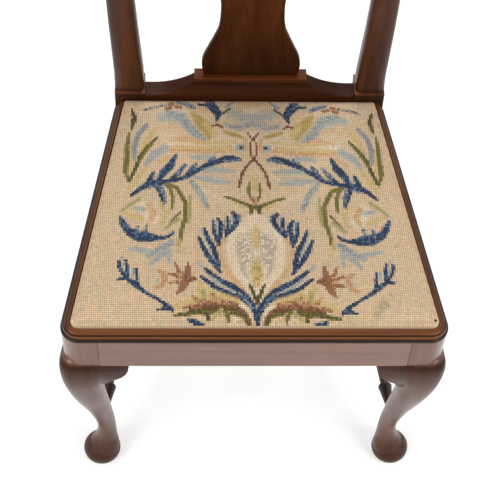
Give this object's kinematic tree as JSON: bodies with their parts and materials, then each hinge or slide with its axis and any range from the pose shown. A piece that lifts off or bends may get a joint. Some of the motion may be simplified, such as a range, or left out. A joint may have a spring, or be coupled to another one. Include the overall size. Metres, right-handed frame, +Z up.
{
  "type": "side chair",
  "caption": "Mahogany side chair with cabriole front legs on pad feet, a vase splat, turned stretchers and a drop-in seat in flower-and-bird needlework.",
  "frame": {"origin": "on the floor under the middle of the chair's width and depth", "axes": "+X to the viewer's right as the chair faces the viewer, +Y to the back, +Z up; the chair faces -Y"},
  "size_m": [0.5586, 0.5656, 0.986],
  "materials": {
    "mahogany": "waxed and polished",
    "oak": "sawn, unpolished",
    "beech": "planed, unpolished",
    "needlework": "wool gros point",
    "horsehair": "curled hair",
    "sackcloth": "coarse linen",
    "webbing": "woven linen straps",
    "iron": "cut tacks, dull"
  },
  "bodies": {
    "chair_frame": {"crest_rail": "mahogany", "front_leg_left": "mahogany", "front_leg_right": "mahogany", "front_rail": "mahogany", "glue_block_front_left": "oak", "glue_block_front_right": "oak", "glue_block_rear_left": "oak", "glue_block_rear_right": "oak", "glue_block_side_left": "oak", "glue_block_side_right": "oak", "knee_bracket_front_left": "mahogany", "knee_bracket_front_right": "mahogany", "knee_bracket_side_left": "mahogany", "knee_bracket_side_right": "mahogany", "medial_stretcher": "mahogany", "rear_leg_left": "mahogany", "rear_leg_right": "mahogany", "rear_rail": "mahogany", "rim_front": "mahogany", "rim_left": "mahogany", "rim_right": "mahogany", "seat_batten": "oak", "side_rail_left": "mahogany", "side_rail_right": "mahogany", "side_stretcher_left": "mahogany", "side_stretcher_right": "mahogany", "splat": "mahogany", "splat_shoe": "mahogany"},
    "drop_in_seat": {"slip_front": "beech", "slip_rear": "beech", "slip_left": "beech", "slip_right": "beech", "webbing": "webbing", "sackcloth": "sackcloth", "hair_stuffing": "horsehair", "needlework_cover": "needlework", "cover_tacks": "iron"}
  },
  "joints": [
    {"name": "seat_lift", "type": "slide", "parent": "chair_frame", "child": "drop_in_seat", "axis": [0, 0, 1], "range_m": [0, 0.12]}
  ]
}
